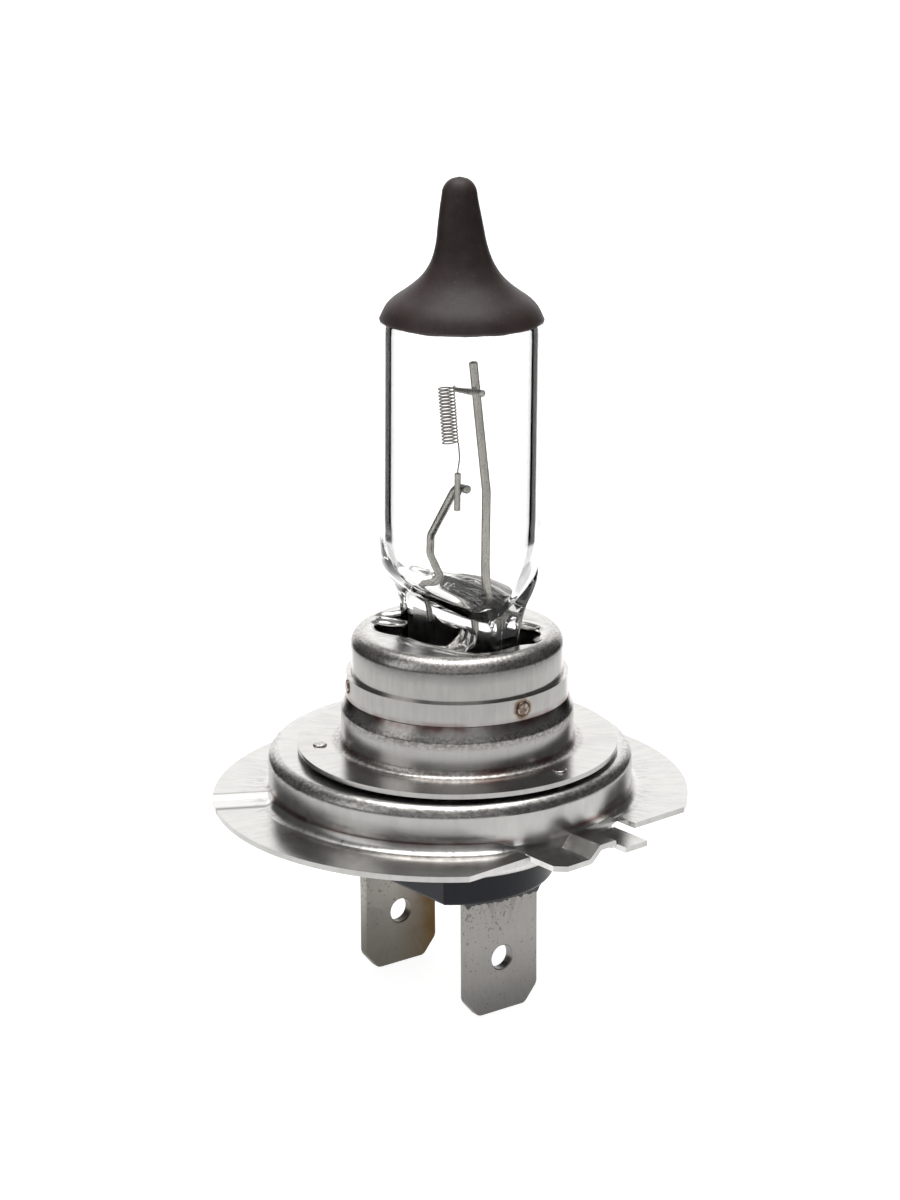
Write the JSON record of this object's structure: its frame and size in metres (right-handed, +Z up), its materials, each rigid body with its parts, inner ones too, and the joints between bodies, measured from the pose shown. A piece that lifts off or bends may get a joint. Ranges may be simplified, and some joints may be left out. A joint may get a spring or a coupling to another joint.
{
  "type": "headlight bulb",
  "caption": "Halogen headlight bulb: quartz burner with dark tip, welded in a stepped metal collar on a prefocus flange, with blade terminals below.",
  "frame": {"origin": "on the axis of the prefocus drum, at the upper face of its flange (the reference plane)", "axes": "+Z up the lamp axis towards the tip, -Z towards the plug, -Y towards the flange's locating tongue, +X to the right when the tongue faces the viewer"},
  "size_m": [0.034, 0.033, 0.0597],
  "materials": {
    "quartz": "clear polished fused quartz",
    "antiglare_coating": "matte dark brown-grey baked coating",
    "tungsten": "drawn tungsten wire",
    "molybdenum": "satin molybdenum",
    "foil": "rolled molybdenum foil",
    "cap_steel": "bright drawn stainless steel",
    "ring_steel": "bright pressed stainless steel",
    "weld_nugget": "heat-tinted weld metal",
    "insulator": "glossy blue-black moulding",
    "blade": "dull nickel-plated brass",
    "sealant": "cured black sealant"
  },
  "bodies": {
    "root": {"quartz_envelope": "quartz", "antiglare_cap": "antiglare_coating", "filament_coil": "tungsten", "filament_upper_sleeve": "molybdenum", "filament_lower_sleeve": "molybdenum", "sleeve_welds": "molybdenum", "long_support_post": "molybdenum", "short_support_post": "molybdenum", "long_post_foil": "foil", "short_post_foil": "foil", "long_post_lead": "molybdenum", "short_post_lead": "molybdenum", "pinch_cup": "cap_steel", "focus_collar": "cap_steel", "band_welds": "weld_nugget", "disc_welds": "weld_nugget", "prefocus_ring": "ring_steel", "base_sleeve": "cap_steel", "base_welds": "weld_nugget", "insulator": "insulator", "blade_front": "blade", "blade_rear": "blade", "blade_sealant": "sealant", "lead_welds": "weld_nugget"}
  },
  "joints": []
}
